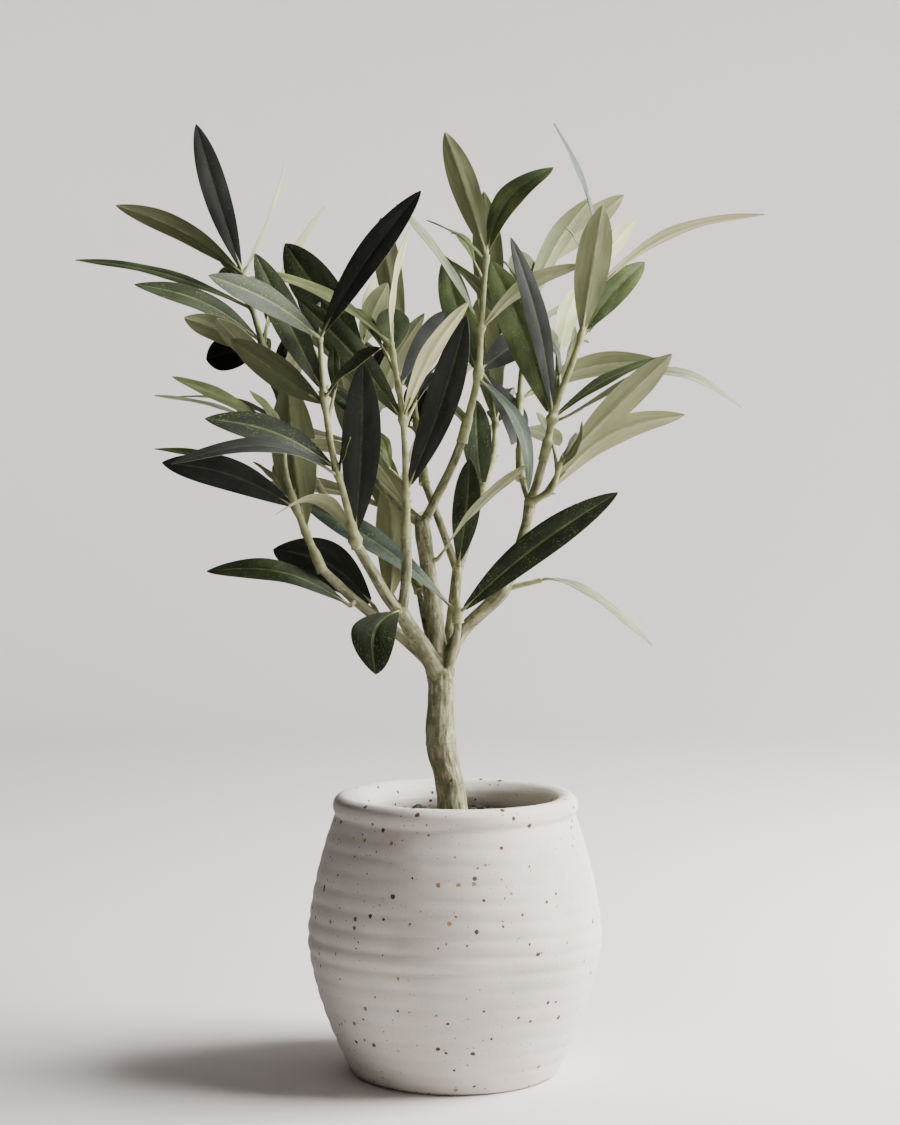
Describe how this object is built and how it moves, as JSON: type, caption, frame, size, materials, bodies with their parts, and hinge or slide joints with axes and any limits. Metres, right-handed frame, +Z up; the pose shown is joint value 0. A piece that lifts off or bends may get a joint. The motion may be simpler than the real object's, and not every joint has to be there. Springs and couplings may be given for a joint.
{
  "type": "artificial potted olive tree",
  "caption": "Small artificial olive tree with a forked trunk and leafy sprigs, standing in a round speckled stoneware pot.",
  "frame": {"origin": "centre of the pot's flat underside", "axes": "+Z up along the pot's axis, +X to the right of the front view, +Y from the front to the back"},
  "size_m": [0.3074, 0.2295, 0.4201],
  "materials": {
    "clay": "matt unglazed speckled stoneware with throwing ridges",
    "soil": "dark crumbly filling",
    "bark": "moulded bark, mottled grey green and beige",
    "foliage": "printed leaf cloth, dark green above and sage below, on moulded green stems"
  },
  "bodies": {
    "root": {"pot": "clay", "soil": "soil", "trunk": "bark", "bough_front_left": "bark", "bough_right": "bark", "bough_middle": "bark", "bough_left": "bark", "bough_back": "bark", "twig_fork_front": "bark", "twig_behind": "bark", "twig_front": "bark", "twig_left_front": "bark", "twig_left_back": "bark", "twig_middle_right": "bark", "twig_middle_left": "bark", "twig_right": "bark", "twig_right_back": "bark", "twig_back_left": "bark", "twig_back_right": "bark", "sprig_front": "foliage", "sprig_front_left": "foliage", "sprig_left": "foliage", "sprig_left_top": "foliage", "sprig_centre_left": "foliage", "sprig_tall": "foliage", "sprig_right": "foliage", "sprig_right_low": "foliage", "sprig_back_right": "foliage", "sprig_back_centre": "foliage", "sprig_back_left": "foliage", "sprig_back_low": "foliage", "leaves_fork": "foliage", "leaf_front_low": "foliage", "leaf_left_low": "foliage", "leaf_left_end": "foliage", "leaf_right_low": "foliage", "leaf_middle": "foliage", "leaf_back": "foliage", "leaf_fork_back": "foliage"}
  },
  "joints": []
}
